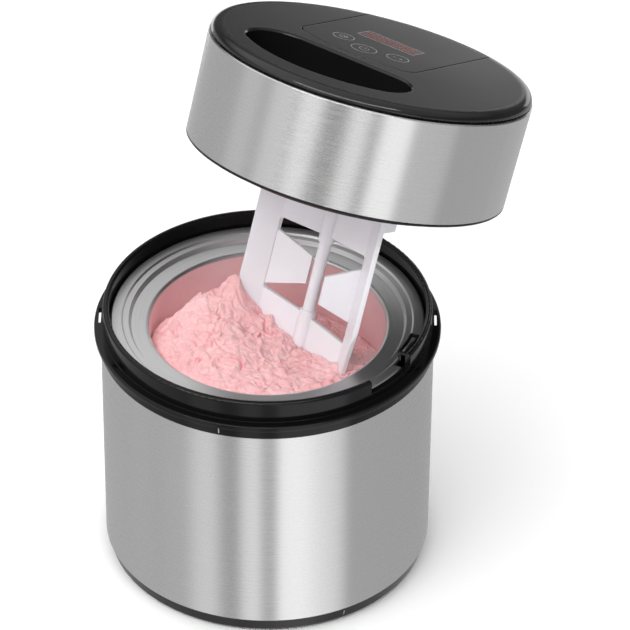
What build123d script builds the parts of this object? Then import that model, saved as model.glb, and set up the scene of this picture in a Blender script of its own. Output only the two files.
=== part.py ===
"""Compact ice cream maker with a freezer bowl and a drive unit in its lid.

The origin is the centre of the rest face under the feet, +Z is up and the user stands at -Y.
The lid is modelled where it is held while the paddle is lifted out: raised, leaning and turned.
"""
import os
from math import atan, atan2, cos, degrees, pi, radians, sin, sqrt, tan

from build123d import *

# ---------------------------------------------------------------- driving dimensions (mm, degrees)
# housing
foot_proud = 1.5
base_r_low = 96.6
base_r_top = 98.9
base_top = 10.6
sleeve_r_low = 99.3
sleeve_r_top = 100.0
sleeve_top = 155.6
sheet = 0.8
skirt_r = 101.3
skirt_low = 150.4
flange_r = 104.0
flange_low = 156.8
flange_top = 160.5
lip_r_out = 98.6
lip_r_in = 94.9
lip_top = 174.3
shelf_top = 158.0
well_r = 83.5
well_floor = 27.0
tray_floor_low = 3.5
tray_floor_top = 6.0
screw_circle_r = 60.0
foot_circle_r = 80.0

# freezer bowl
mouth_r = 70.9
mouth_roll = 2.5
mouth_top = 161.0
cavity_floor = 56.5
cavity_r_low = 67.0
cavity_corner = 12.0
pot_wall = 1.5
step_r_in = 81.7
step_r_out = 86.6
step_rise = 2.6
rim_rise = 3.6
rim_r = 94.2
rim_low = 158.3
shell_r = 81.0
shell_low = 30.0
shell_top = 157.8

# lip features, as azimuths about the origin
cutout_from, cutout_to = -51.0, -30.5
cutout_floor = 165.5
clip_from, clip_to = -30.0, -17.5
clip_r_in = 89.4
clip_loop_low, clip_loop_thick = 171.4, 1.8
clip_bar = 1.3
clip_leg_low = 165.4
clip_notch_depth = 6.0
clip_notch_width = 26.0
slot_width, slot_length, slot_r = 1.5, 15.0, 100.75
slot_middle_y = 5.7
slot_relief = (12.5, 19.0)

# lid pose: bottom centre, lean, direction of the lean and turn about its own axis
lid_origin = (45.5, 25.8, 256.5)
lid_lean = 22.1
lid_lean_azimuth = 52.7
lid_turn = -87.1

# lid, with heights from its bottom plane
band_r_low = 96.9
band_r_top = 98.1
band_low = 1.8
band_top = 63.9
cap_foot_r = 95.6
cap_bulge_r = 97.3
cap_shoulder_r = 92.3
cap_top = 70.0
cap_wall = 2.5
cover_floor = 2.2
spigot_r = 88.6
spigot_drop = 3.0
panel_centre_x = -10.5
panel_half = 40.2
panel_thick = 2.0
panel_gap = 0.7
panel_front = -12.6
panel_corner_y = -7.2
panel_rear_r = 91.0
pocket_depth = 24.0
pocket_r = 75.0
pocket_near = 20.5
pocket_centre_x = -5.5
pocket_nose = 21.5
display_centre = (-10.5, 37.3)
display_size = (39.0, 13.5)
touch_places = ((-29.8, 13.6), (-10.5, 6.0), (8.8, 13.6))
lid_post_r = 82.0
lid_post_azimuths = (20.0, 160.0, 215.0, 325.0)
lid_posts = [(lid_post_r * cos(radians(a)), lid_post_r * sin(radians(a))) for a in lid_post_azimuths]

# parts inside the lid
board_centre = (-10.5, 28.0)
board_size = (78.0, 40.0)
board_low, board_thick = 62.5, 1.6
board_top = board_low + board_thick
standoff_places = [(board_centre[0] + x * 37.0, board_centre[1] + y * 16.0) for x in (-1, 1) for y in (-1, 1)]
power_centre = (0.0, -52.0)
power_size = (62.0, 30.0)
power_low = 8.0
power_posts = [(power_centre[0] + x * 27.0, power_centre[1] + y * 11.0) for x in (-1, 1) for y in (-1, 1)]
pillar_places = ((-34.0, 0.0), (36.0, 0.0), (-12.0, 62.0))
pillar_r = 3.5
inlet_height = 14.0

# gear train
pressure_angle = 25.0
module_final = 1.0
module_first = 0.8
teeth_output = 56
teeth_small = 14
teeth_large = 48
teeth_pinion = 12
tooth_thinning = 0.14
idler_xy = (0.0, module_final * (teeth_output + teeth_small) / 2)
motor_arm = module_first * (teeth_large + teeth_pinion) / 2
motor_bearing = 30.0
motor_xy = (
    idler_xy[0] + motor_arm * cos(radians(motor_bearing)),
    idler_xy[1] + motor_arm * sin(radians(motor_bearing)),
)
output_low, output_face = 9.0, 8.0
large_low, large_face = 18.6, 6.0
plate_low, plate_thick = 27.0, 2.0
shaft_r = 4.0
running_gap = 0.05
motor_r = 18.0
can_height = 26.0

# paddle, in plan about its mirror plane; depths are below the lid's bottom plane
paddle_turn = -95.5
hinge_plan = (3.3, 33.0)
edge_plan = (13.6, 45.4)
paddle_thick = 3.0
paddle_top = 5.0
paddle_low = 115.5
window_top = 44.0
window_left = (-32.7, -0.3)
window_right = (0.3, 32.7)
window_left_low = (89.3, 95.0)
window_right_low = (95.6, 100.6)
window_corner_r = 2.0
flap_hinge_top, flap_hinge_low = 52.0, 87.0
flap_free_top, flap_free_low = 61.0, 78.5
flap_free_right = (19.5, 18.5)
flap_free_left = (-3.3, -8.5)
flap_thick = 2.4
edge_taper_from, edge_taper_r = 85.0, 43.4
tab_length, tab_top, tab_low = 14.0, 9.0, 24.0
hub_r, hub_low = 4.9, 48.0
stem_r = 3.7
foot_hub_r, foot_hub_top = 5.1, 92.0
drive_across_flats = 5.5
drive_depth = 13.0

os.makedirs("parts", exist_ok=True)


# ---------------------------------------------------------------- shared planes and profiles
LID = Plane(
    Location(lid_origin)
    * Rotation(0, 0, lid_lean_azimuth)
    * Rotation(0, lid_lean, 0)
    * Rotation(0, 0, lid_turn)
)
LID_AXIS = Axis(LID.origin, LID.z_dir)
LID_SECTION = Plane(LID.origin, x_dir=LID.x_dir, z_dir=-LID.y_dir)


def lid_level(height, at=(0.0, 0.0)):
    """Plane across the lid, at a height above its bottom plane and centred on a place in it."""
    return Plane(LID.from_local_coords(Vector(at[0], at[1], height)), x_dir=LID.x_dir, z_dir=LID.z_dir)


def lid_section(at):
    """Plane that holds the axis direction, for turned pieces that stand off the lid's own axis."""
    return Plane(LID.from_local_coords(Vector(at[0], at[1], 0)), x_dir=LID.x_dir, z_dir=-LID.y_dir)


def lid_axis(at):
    return Axis(LID.from_local_coords(Vector(at[0], at[1], 0)), LID.z_dir)


def radial_plane(azimuth, height, radius):
    """Horizontal plane whose x axis points outwards at an azimuth, centred at a radius."""
    out = Vector(cos(radians(azimuth)), sin(radians(azimuth)), 0)
    return Plane(out * radius + Vector(0, 0, height), x_dir=out, z_dir=(0, 0, 1))


def finish(piece, name):
    """Label a finished piece and write it as the node of the same name."""
    piece.part.label = name
    export_step(piece.part, f"parts/{name}.step")


def polar(radius, angle):
    return (radius * cos(angle), radius * sin(angle))


def involute_points(base_r, from_r, to_r, half_at_base, count=7):
    """Points of one involute flank, as (radius, angle from the tooth's centre line)."""
    found = []
    for step in range(count):
        radius = from_r + (to_r - from_r) * step / (count - 1)
        roll = sqrt(max((radius / base_r) ** 2 - 1, 0.0))
        found.append((radius, half_at_base - (roll - atan(roll))))
    return found


def gear_outline(module, teeth, centred_on):
    """Closed list of points of an external gear with a tooth centred on an angle (degrees)."""
    pitch_r = module * teeth / 2
    base_r = pitch_r * cos(radians(pressure_angle))
    tip_r = pitch_r + 0.9 * module
    root_r = pitch_r - 1.2 * module
    involute = tan(radians(pressure_angle)) - radians(pressure_angle)
    half_at_base = (pi * module / 2 - tooth_thinning) / (2 * pitch_r) + involute
    flank = involute_points(base_r, max(base_r, root_r), tip_r, half_at_base)
    points = []
    for tooth in range(teeth):
        middle = radians(centred_on) + 2 * pi * tooth / teeth
        points.append(polar(root_r, middle - half_at_base))
        points += [polar(radius, middle - half) for radius, half in flank]
        points += [polar(radius, middle + half) for radius, half in reversed(flank)]
        points.append(polar(root_r, middle + half_at_base))
    return points


# ---------------------------------------------------------------- housing
with BuildPart() as base_tray:
    with BuildSketch(Plane.XZ):
        with BuildLine():
            Polyline(
                (0, tray_floor_low),
                (92.0, tray_floor_low),
                (92.0, foot_proud),
                (base_r_low - 0.8, foot_proud),
                (base_r_low, foot_proud + 0.8),
                (base_r_top, base_top),
                (sleeve_r_low - sheet - 0.1, base_top),
                (sleeve_r_low - sheet - 0.1, base_top + 8),
                (96.2, base_top + 8),
                (96.2, tray_floor_top),
                (0, tray_floor_top),
                close=True,
            )
        make_face()
    revolve(axis=Axis.Z)
    with BuildSketch(Plane.XY.offset(tray_floor_low)):
        with PolarLocations(screw_circle_r, 4, start_angle=45):
            Circle(2.1)
    extrude(amount=tray_floor_top, mode=Mode.SUBTRACT)
finish(base_tray, "base_tray")

with BuildPart() as rubber_feet:
    with BuildSketch():
        with PolarLocations(foot_circle_r, 4):
            Circle(7.5)
    extrude(amount=tray_floor_low)
    chamfer(rubber_feet.edges().group_by(Axis.Z)[0], length=0.6)
finish(rubber_feet, "rubber_feet")

with BuildPart() as base_screws:
    with BuildSketch(Plane.XY.offset(tray_floor_low - 1.6)):
        with PolarLocations(screw_circle_r, 4, start_angle=45):
            Circle(3.8)
    extrude(amount=1.6)
    with BuildSketch(Plane.XY.offset(tray_floor_low)):
        with PolarLocations(screw_circle_r, 4, start_angle=45):
            Circle(1.9)
    extrude(amount=15)
    with BuildSketch(Plane.XY.offset(tray_floor_low - 1.6)):
        with PolarLocations(screw_circle_r, 4, start_angle=45):
            Rectangle(4.4, 0.8)
            Rectangle(0.8, 4.4)
    extrude(amount=0.9, mode=Mode.SUBTRACT)
finish(base_screws, "base_screws")

with BuildPart() as steel_sleeve:
    with BuildSketch(Plane.XZ):
        with BuildLine():
            Polyline(
                (sleeve_r_low, base_top),
                (sleeve_r_top, sleeve_top),
                (sleeve_r_top - sheet, sleeve_top),
                (sleeve_r_low - sheet, base_top),
                close=True,
            )
        make_face()
    revolve(axis=Axis.Z)
finish(steel_sleeve, "steel_sleeve")

with BuildPart() as well_liner:
    with BuildSketch(Plane.XZ):
        with BuildLine():
            Polyline(
                (0, well_floor),
                (well_r + 1.5, well_floor),
                (well_r + 1.5, shelf_top - 3),
                (well_r, shelf_top - 3),
                (well_r, well_floor + 2),
                (0, well_floor + 2),
                close=True,
            )
        make_face()
    revolve(axis=Axis.Z)
    with BuildSketch(Plane.XY.offset(tray_floor_top)):
        with PolarLocations(screw_circle_r, 4, start_angle=45):
            Circle(5.5)
    extrude(amount=well_floor - tray_floor_top)
    with BuildSketch(Plane.XY.offset(tray_floor_top)):
        with PolarLocations(screw_circle_r, 4, start_angle=45):
            Circle(1.95)
    extrude(amount=14, mode=Mode.SUBTRACT)
finish(well_liner, "well_liner")

with BuildPart() as collar:
    with BuildSketch(Plane.XZ) as collar_section:
        with BuildLine():
            Polyline(
                (lip_r_in, lip_top),
                (lip_r_out, lip_top),
                (lip_r_out, flange_top),
                (flange_r, flange_top),
                (flange_r, flange_low),
                (skirt_r, flange_low),
                (skirt_r, skirt_low),
                (sleeve_r_top + 0.3, skirt_low),
                (sleeve_r_top + 0.3, sleeve_top + 0.3),
                (sleeve_r_top - sheet - 0.2, sleeve_top + 0.3),
                (sleeve_r_top - sheet - 0.2, skirt_low - 3),
                (96.5, skirt_low - 3),
                (96.5, shelf_top - 3),
                (well_r, shelf_top - 3),
                (well_r, shelf_top),
                (lip_r_in, shelf_top),
                close=True,
            )
        make_face()
        lip_corners = collar_section.vertices().group_by(Axis.Y)[-1]
        fillet(lip_corners, radius=1.6)
        flange_corners = collar_section.vertices().group_by(Axis.X)[-1]
        fillet(flange_corners, radius=1.0)
    revolve(axis=Axis.Z)
    # lowered stretch of the lip
    with BuildSketch(Plane.XY.offset(cutout_floor)):
        with BuildLine():
            inner = lip_r_in - 2
            outer = lip_r_out + 1
            CenterArc((0, 0), inner, cutout_from, cutout_to - cutout_from)
            Line(polar(inner, radians(cutout_to)), polar(outer, radians(cutout_to)))
            CenterArc((0, 0), outer, cutout_from, cutout_to - cutout_from)
            Line(polar(inner, radians(cutout_from)), polar(outer, radians(cutout_from)))
        make_face()
    extrude(amount=lip_top, mode=Mode.SUBTRACT)
    # slots right through the flange, one on each side
    with BuildSketch(Plane.XY.offset(flange_low - 1)):
        with Locations((-slot_r, slot_middle_y), (slot_r, slot_middle_y)):
            RectangleRounded(slot_width, slot_length, 0.6)
    extrude(amount=flange_top - flange_low + 2, mode=Mode.SUBTRACT)
    # relief in the skirt under each slot
    with BuildSketch(Plane.XY.offset(skirt_low - 1)):
        with Locations((-slot_r, slot_relief[0]), (slot_r, slot_relief[0])):
            Rectangle(slot_width, slot_relief[1])
    extrude(amount=flange_low - skirt_low + 1, mode=Mode.SUBTRACT)
    # blind lock slots beside the lip
    for side in (-152.0, -28.0, 88.0):
        with BuildSketch(radial_plane(side, flange_top - 1.8, lip_r_out + 1.7)):
            RectangleRounded(2.2, 9.0, 0.8)
        extrude(amount=3, mode=Mode.SUBTRACT)
finish(collar, "collar")

with BuildPart() as collar_clip:
    clip_r_out = lip_r_in - 0.05
    clip_middle = (clip_from + clip_to) / 2
    bar_turn = degrees(clip_bar / clip_r_in)
    # flat loop on the inside of the lip
    for grow, way in ((0.0, Mode.ADD), (clip_bar, Mode.SUBTRACT)):
        near, far = clip_r_in + grow, clip_r_out - grow
        start = clip_from + (bar_turn if grow else 0.0)
        end = clip_to - (bar_turn if grow else 0.0)
        with BuildSketch(Plane.XY.offset(clip_loop_low)):
            with BuildLine():
                CenterArc((0, 0), near, start, end - start)
                Line(polar(near, radians(end)), polar(far, radians(end)))
                CenterArc((0, 0), far, start, end - start)
                Line(polar(near, radians(start)), polar(far, radians(start)))
            make_face()
        extrude(amount=clip_loop_thick, mode=way)
    # leg at the loop's front corner
    with BuildSketch(radial_plane(clip_from + bar_turn / 2, clip_leg_low, clip_r_in + clip_bar)):
        Rectangle(2 * clip_bar - 0.4, clip_bar)
    extrude(amount=clip_loop_low + clip_loop_thick / 2 - clip_leg_low)
finish(collar_clip, "collar_clip")

# ---------------------------------------------------------------- freezer bowl


def pot_outline(gap):
    """Half section of the bowl's wall, from the axis up to the mouth, moved out by a gap."""
    corner = cavity_corner + gap
    centre = (cavity_r_low - cavity_corner, cavity_floor + cavity_corner)
    floor = centre[1] - corner
    return centre, corner, floor


with BuildPart() as bowl_inner:
    with BuildSketch(Plane.XZ):
        with BuildLine():
            centre, corner, floor = pot_outline(0)
            roll_centre = (mouth_r + mouth_roll, mouth_top - mouth_roll)
            l1 = Line((0, floor), (centre[0], floor))
            l2 = CenterArc(centre, corner, -90, 90)
            l3 = Line(l2 @ 1, (mouth_r, roll_centre[1]))
            l4 = CenterArc(roll_centre, mouth_roll, 180, -90)
            l5 = Polyline(
                l4 @ 1,
                (step_r_in, mouth_top),
                (step_r_in + 1.6, mouth_top + step_rise),
                (step_r_out, mouth_top + step_rise),
                (step_r_out + 1.0, mouth_top + rim_rise),
                (rim_r - 1.0, mouth_top + rim_rise),
                (rim_r, mouth_top + rim_rise - 1.0),
                (rim_r, rim_low),
                (rim_r - pot_wall, rim_low),
                (rim_r - pot_wall, mouth_top + rim_rise - pot_wall - 0.4),
                (step_r_out + 1.6, mouth_top + rim_rise - pot_wall - 0.4),
                (step_r_out + 0.6, mouth_top + step_rise - pot_wall),
                (step_r_in + 2.2, mouth_top + step_rise - pot_wall),
                (step_r_in + 0.8, mouth_top - pot_wall),
                (roll_centre[0], mouth_top - pot_wall),
            )
            l6 = CenterArc(roll_centre, mouth_roll - pot_wall, 90, 90)
            centre, corner, floor = pot_outline(pot_wall)
            l7 = CenterArc(centre, corner, 0, -90)
            l8 = Line(l6 @ 1, l7 @ 0)
            l9 = Polyline(l7 @ 1, (0, floor), (0, cavity_floor))
        make_face()
    revolve(axis=Axis.Z)
    # notch that lets the flange pass the collar's clip
    with BuildSketch(radial_plane(clip_middle, rim_low - 1, rim_r)):
        Rectangle(2 * clip_notch_depth, clip_notch_width)
    extrude(amount=20, mode=Mode.SUBTRACT)
finish(bowl_inner, "bowl_inner")

with BuildPart() as bowl_outer:
    with BuildSketch(Plane.XZ) as shell_section:
        with BuildLine():
            Polyline(
                (0, shell_low),
                (shell_r, shell_low),
                (shell_r, shell_top),
                (shell_r - pot_wall, shell_top),
                (shell_r - pot_wall, shell_low + pot_wall),
                (0, shell_low + pot_wall),
                close=True,
            )
        make_face()
        foot_corner = shell_section.vertices().group_by(Axis.Y)[0].group_by(Axis.X)[-1]
        fillet(foot_corner, radius=6.0)
        bend = shell_section.vertices().group_by(Axis.Y)[1].group_by(Axis.X)[-1]
        fillet(bend, radius=4.0)
    revolve(axis=Axis.Z)
    with BuildSketch(Plane.XY.offset(shell_low - 1)):
        with Locations((40, 0)):
            Circle(5.0)
    extrude(amount=5, mode=Mode.SUBTRACT)
finish(bowl_outer, "bowl_outer")

with BuildPart() as bowl_seal:
    with BuildSketch(Plane.XZ):
        with BuildLine():
            Polyline(
                (shell_r - 3.5, shell_top),
                (shell_r, shell_top),
                (shell_r, mouth_top - pot_wall),
                (shell_r - 5.5, mouth_top - pot_wall),
                (shell_r - 5.5, shell_top - 3),
                (shell_r - 3.5, shell_top - 3),
                close=True,
            )
        make_face()
    revolve(axis=Axis.Z)
finish(bowl_seal, "bowl_seal")

coolant_top = 148.0
with BuildPart() as coolant:
    with BuildSketch(Plane.XZ):
        with BuildLine():
            centre, corner, floor = pot_outline(pot_wall + 0.1)
            wall_rise = mouth_top - mouth_roll - centre[1]
            lean = (mouth_r - cavity_r_low) / wall_rise
            wall_top = cavity_r_low + pot_wall + 0.3 + lean * (coolant_top - centre[1])
            g1 = Line((0, floor), (centre[0], floor))
            g2 = CenterArc(centre, corner, -90, 90)
            g3 = Polyline(
                g2 @ 1,
                (wall_top, coolant_top),
                (shell_r - pot_wall - 0.1, coolant_top),
                (shell_r - pot_wall - 0.1, shell_low + pot_wall + 4.5),
                (shell_r - pot_wall - 4.5, shell_low + pot_wall + 0.1),
                (0, shell_low + pot_wall + 0.1),
                (0, floor),
            )
        make_face()
    revolve(axis=Axis.Z)
    with BuildSketch(Plane.XY.offset(shell_low)):
        with Locations((40, 0)):
            Circle(7.2)
    extrude(amount=5, mode=Mode.SUBTRACT)
finish(coolant, "coolant")

with BuildPart() as filler_plug:
    with BuildSketch(Plane.XY.offset(shell_low)):
        with Locations((40, 0)):
            Circle(4.95)
    extrude(amount=pot_wall)
    with BuildSketch(Plane.XY.offset(shell_low + pot_wall)):
        with Locations((40, 0)):
            Circle(7.0)
    extrude(amount=2.5)
finish(filler_plug, "filler_plug")

# ---------------------------------------------------------------- lid shell
with BuildPart() as steel_band:
    with BuildSketch(LID_SECTION) as band_section:
        with BuildLine():
            Polyline(
                (band_r_low, band_low),
                (band_r_top, band_top - 0.6),
                (band_r_top - 0.6, band_top),
                (cap_foot_r + 0.2, band_top),
                (cap_foot_r + 0.2, band_top - sheet),
                (band_r_top - sheet - 0.1, band_top - sheet),
                (band_r_low - sheet, band_low),
                close=True,
            )
        make_face()
    revolve(axis=LID_AXIS)
    with BuildSketch(Plane(LID.from_local_coords((0, 80, 14)), x_dir=LID.x_dir, z_dir=LID.y_dir)):
        Circle(6.1)
    extrude(amount=30, mode=Mode.SUBTRACT)
finish(steel_band, "steel_band")


def panel_outline(grow):
    """Tongue-shaped outline of the control panel, grown outwards by a gap."""
    left = panel_centre_x - panel_half - grow
    right = panel_centre_x + panel_half + grow
    rear_r = panel_rear_r + grow
    rear_left = sqrt(rear_r**2 - left**2)
    rear_right = sqrt(rear_r**2 - right**2)
    front = panel_front - grow
    corner = panel_corner_y - grow
    with BuildSketch() as outline:
        with BuildLine():
            Line((left, rear_left), (left, 3.0))
            ThreePointArc((left, 3.0), (left + 2.6, corner + 3.6), (left + 9.5, corner))
            ThreePointArc((left + 9.5, corner), (panel_centre_x, front), (right - 9.5, corner))
            ThreePointArc((right - 9.5, corner), (right - 2.6, corner + 3.6), (right, 3.0))
            Line((right, 3.0), (right, rear_right))
            ThreePointArc((right, rear_right), (0, rear_r), (left, rear_left))
        make_face()
    return outline.sketch


def pocket_outline(grow):
    """Half-moon outline of the handle pocket, grown outwards by a wall."""
    with BuildSketch() as outline:
        with Locations((pocket_centre_x, 0)):
            Circle(pocket_r + grow)
        with Locations((0, -pocket_near + grow - pocket_r)):
            Rectangle(4 * pocket_r, 2 * pocket_r, mode=Mode.INTERSECT)
        fillet(outline.vertices(), radius=pocket_nose + grow)
    return outline.sketch


ledge_low = cap_top - panel_thick - 2.5
with BuildPart() as top_cap:
    with BuildSketch(LID_SECTION):
        with BuildLine():
            c1 = Polyline((0, cap_top), (cap_shoulder_r, cap_top))
            c2 = ThreePointArc(
                (cap_shoulder_r, cap_top),
                (cap_bulge_r - 0.9, cap_top - 1.9),
                (cap_bulge_r, band_top + 1.7),
            )
            c3 = Polyline(
                c2 @ 1,
                (cap_foot_r, band_top),
                (cap_foot_r, band_top - 6),
                (cap_foot_r - cap_wall, band_top - 6),
                (cap_foot_r - cap_wall, cap_top - 3.4),
                (cap_foot_r - cap_wall - 2, cap_top - cap_wall),
                (0, cap_top - cap_wall),
                (0, cap_top),
            )
        make_face()
    revolve(axis=LID_AXIS)
    # ledge under the control panel
    with BuildSketch(lid_level(ledge_low)):
        add(panel_outline(3.0))
        Circle(cap_foot_r - cap_wall, mode=Mode.INTERSECT)
    extrude(amount=cap_top - cap_wall - ledge_low + 0.5)
    # standoffs of the control board
    with BuildSketch(lid_level(board_top)):
        with Locations(*standoff_places):
            Circle(2.4)
    extrude(amount=ledge_low - board_top + 0.5)
    # cup of the handle pocket
    with BuildSketch(lid_level(cap_top - pocket_depth - cap_wall)):
        add(pocket_outline(cap_wall))
    extrude(amount=pocket_depth + cap_wall - 0.5)
    # screw posts with their pilot holes
    with BuildSketch(lid_level(cover_floor)):
        with Locations(*lid_posts):
            Circle(4.5)
    extrude(amount=cap_top - cap_wall - cover_floor + 0.5)
    with BuildSketch(lid_level(cover_floor)):
        with Locations(*lid_posts):
            Circle(1.55)
    extrude(amount=16, mode=Mode.SUBTRACT)
    # hollow of the handle pocket, with a softened rim
    with BuildSketch(lid_level(cap_top - pocket_depth)):
        add(pocket_outline(0))
    extrude(amount=pocket_depth - 1.2, mode=Mode.SUBTRACT)
    with BuildSketch(lid_level(cap_top - 1.2)):
        add(pocket_outline(0))
    with BuildSketch(lid_level(cap_top)):
        add(pocket_outline(1.0))
    loft(mode=Mode.SUBTRACT)
    # recess for the panel, its opening and the joint lines over the shoulder
    with BuildSketch(lid_level(cap_top - panel_thick)):
        add(panel_outline(panel_gap))
    extrude(amount=panel_thick + 1, mode=Mode.SUBTRACT)
    with BuildSketch(lid_level(ledge_low - 1)):
        add(panel_outline(-4.0))
    extrude(amount=8, mode=Mode.SUBTRACT)
    for side in (-1, 1):
        edge_x = panel_centre_x + side * (panel_half + panel_gap / 2)
        with BuildSketch(lid_level(band_top + 2.6, (edge_x, panel_rear_r - 4))):
            Rectangle(panel_gap, 20.0)
        extrude(amount=8, mode=Mode.SUBTRACT)
finish(top_cap, "top_cap")

# ---------------------------------------------------------------- control panel and electronics
with BuildPart() as control_panel:
    with BuildSketch(lid_level(cap_top - panel_thick)):
        add(panel_outline(0))
        with Locations(display_centre):
            Rectangle(*display_size, mode=Mode.SUBTRACT)
    extrude(amount=panel_thick)
finish(control_panel, "control_panel")

with BuildPart() as display_window:
    with BuildSketch(lid_level(cap_top - 1.2, display_centre)):
        Rectangle(display_size[0] - 0.1, display_size[1] - 0.1)
    extrude(amount=1.2)
finish(display_window, "display_window")

with BuildPart() as led_display:
    with BuildSketch(lid_level(board_top, display_centre)):
        Rectangle(display_size[0] - 3, display_size[1] - 2.5)
    extrude(amount=cap_top - 1.3 - board_top)
finish(led_display, "led_display")

with BuildPart() as control_board:
    with BuildSketch(lid_level(board_low, board_centre)):
        Rectangle(*board_size)
        with GridLocations(74.0, 32.0, 2, 2):
            Circle(1.3, mode=Mode.SUBTRACT)
    extrude(amount=board_thick)
finish(control_board, "control_board")

with BuildPart() as touch_pads:
    with BuildSketch(lid_level(board_top)):
        with Locations(*touch_places):
            Circle(5.5)
    extrude(amount=cap_top - panel_thick - board_top)
finish(touch_pads, "touch_pads")

with BuildPart() as beeper:
    with BuildSketch(lid_level(board_low - 6.5, (-40.0, 36.0))):
        Circle(6.0)
        Circle(1.0, mode=Mode.SUBTRACT)
    extrude(amount=6.5)
finish(beeper, "beeper")

# ---------------------------------------------------------------- underside of the lid
bush_r = 6.0
with BuildPart() as bottom_cover:
    with BuildSketch(LID_SECTION):
        with BuildLine():
            Polyline(
                (bush_r, 0),
                (spigot_r - 2.5, 0),
                (spigot_r - 2.5, -spigot_drop),
                (spigot_r - 0.6, -spigot_drop),
                (spigot_r, -spigot_drop + 0.6),
                (spigot_r, 0),
                (band_r_low - 0.7, 0),
                (band_r_low, 0.7),
                (band_r_low, band_low),
                (band_r_low - sheet - 0.2, band_low),
                (band_r_low - sheet - 0.2, 11.0),
                (band_r_low - sheet - 2.2, 11.0),
                (band_r_low - sheet - 2.2, cover_floor),
                (9.0, cover_floor),
                (9.0, 6.4),
                (bush_r, 6.4),
                close=True,
            )
        make_face()
    revolve(axis=LID_AXIS)
    with BuildSketch(lid_level(cover_floor - 0.5)):
        with Locations(idler_xy):
            Circle(4.5)
    extrude(amount=output_low - 0.8 - cover_floor + 0.5)
    with BuildSketch(lid_level(cover_floor - 0.5)):
        with Locations(*pillar_places):
            Circle(pillar_r)
    extrude(amount=plate_low - cover_floor + 0.5)
    with BuildSketch(lid_level(cover_floor - 0.5)):
        with Locations(*power_posts):
            Circle(2.6)
    extrude(amount=power_low - cover_floor + 0.5)
    # pilot holes, axle seat and screw holes
    with BuildSketch(lid_level(plate_low - 10)):
        with Locations(*pillar_places):
            Circle(1.25)
    extrude(amount=12, mode=Mode.SUBTRACT)
    with BuildSketch(lid_level(cover_floor)):
        with Locations(idler_xy):
            Circle(2.5)
    extrude(amount=10, mode=Mode.SUBTRACT)
    with BuildSketch(lid_level(-1)):
        with Locations(*lid_posts):
            Circle(1.7)
    extrude(amount=5, mode=Mode.SUBTRACT)
    with BuildSketch(lid_level(-1)):
        with Locations(*lid_posts):
            Circle(3.3)
    extrude(amount=2.2, mode=Mode.SUBTRACT)
    # way in for the mains cord
    with BuildSketch(lid_level(cover_floor + 2.0, (0, band_r_low))):
        Rectangle(18.0, 12.0)
    extrude(amount=12, mode=Mode.SUBTRACT)
finish(bottom_cover, "bottom_cover")

with BuildPart() as lid_screws:
    with BuildSketch(lid_level(0.1)):
        with Locations(*lid_posts):
            Circle(3.1)
    extrude(amount=1.1)
    with BuildSketch(lid_level(1.0)):
        with Locations(*lid_posts):
            Circle(1.5)
    extrude(amount=14)
    with BuildSketch(lid_level(0.1)):
        with Locations(*lid_posts):
            Rectangle(3.6, 0.7)
            Rectangle(0.7, 3.6)
    extrude(amount=0.6, mode=Mode.SUBTRACT)
finish(lid_screws, "lid_screws")

with BuildPart() as cord_grommet:
    inlet = LID.from_local_coords((0, 93.2, inlet_height))
    with BuildSketch(Plane(inlet, x_dir=LID.x_dir, z_dir=LID.y_dir)):
        Circle(7.6)
        Circle(3.3, mode=Mode.SUBTRACT)
    extrude(amount=2.0)
    with BuildSketch(Plane(inlet, x_dir=LID.x_dir, z_dir=LID.y_dir)):
        Circle(6.0)
        Circle(3.3, mode=Mode.SUBTRACT)
    extrude(amount=6.4)
    chamfer(cord_grommet.edges().group_by(Axis(inlet, LID.y_dir))[-1], length=0.5)
finish(cord_grommet, "cord_grommet")

# ---------------------------------------------------------------- gearbox and motor
with BuildPart() as lower_bush:
    with BuildSketch(lid_level(0.3)):
        Circle(bush_r)
        Circle(shaft_r + running_gap, mode=Mode.SUBTRACT)
    extrude(amount=6.1)
finish(lower_bush, "lower_bush")

with BuildPart() as shaft_seal:
    with BuildSketch(lid_level(6.4)):
        Circle(8.6)
        Circle(shaft_r + 0.08, mode=Mode.SUBTRACT)
    extrude(amount=0.9)
finish(shaft_seal, "shaft_seal")

with BuildPart() as gear_plate:
    with BuildSketch(lid_level(plate_low)):
        with BuildSketch(mode=Mode.PRIVATE) as plate_discs:
            with Locations(*pillar_places):
                Circle(6.0)
            with Locations(motor_xy):
                Circle(motor_r + 2)
        make_hull(plate_discs.sketch.edges())
        Circle(bush_r + 0.5, mode=Mode.SUBTRACT)
        with Locations(motor_xy):
            Circle(6.3, mode=Mode.SUBTRACT)
        with Locations(idler_xy):
            Circle(2.5, mode=Mode.SUBTRACT)
        with Locations(*pillar_places):
            Circle(1.6, mode=Mode.SUBTRACT)
        with Locations((motor_xy[0] - 10, motor_xy[1]), (motor_xy[0] + 10, motor_xy[1])):
            Circle(1.6, mode=Mode.SUBTRACT)
    extrude(amount=plate_thick)
finish(gear_plate, "gear_plate")

with BuildPart() as plate_screws:
    with BuildSketch(lid_level(plate_low + plate_thick)):
        with Locations(*pillar_places):
            Circle(2.8)
    extrude(amount=1.8)
    with BuildSketch(lid_level(plate_low - 7)):
        with Locations(*pillar_places):
            Circle(1.2)
    extrude(amount=9)
finish(plate_screws, "plate_screws")

with BuildPart() as upper_bush:
    with BuildSketch(lid_level(plate_low - 2.0)):
        Circle(bush_r + 0.5)
        Circle(shaft_r + running_gap, mode=Mode.SUBTRACT)
    extrude(amount=plate_thick + 2.0)
finish(upper_bush, "upper_bush")

with BuildPart() as idler_axle:
    with BuildSketch(lid_level(cover_floor)):
        with Locations(idler_xy):
            Circle(2.5)
    extrude(amount=plate_low + plate_thick - cover_floor)
finish(idler_axle, "idler_axle")

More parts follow.
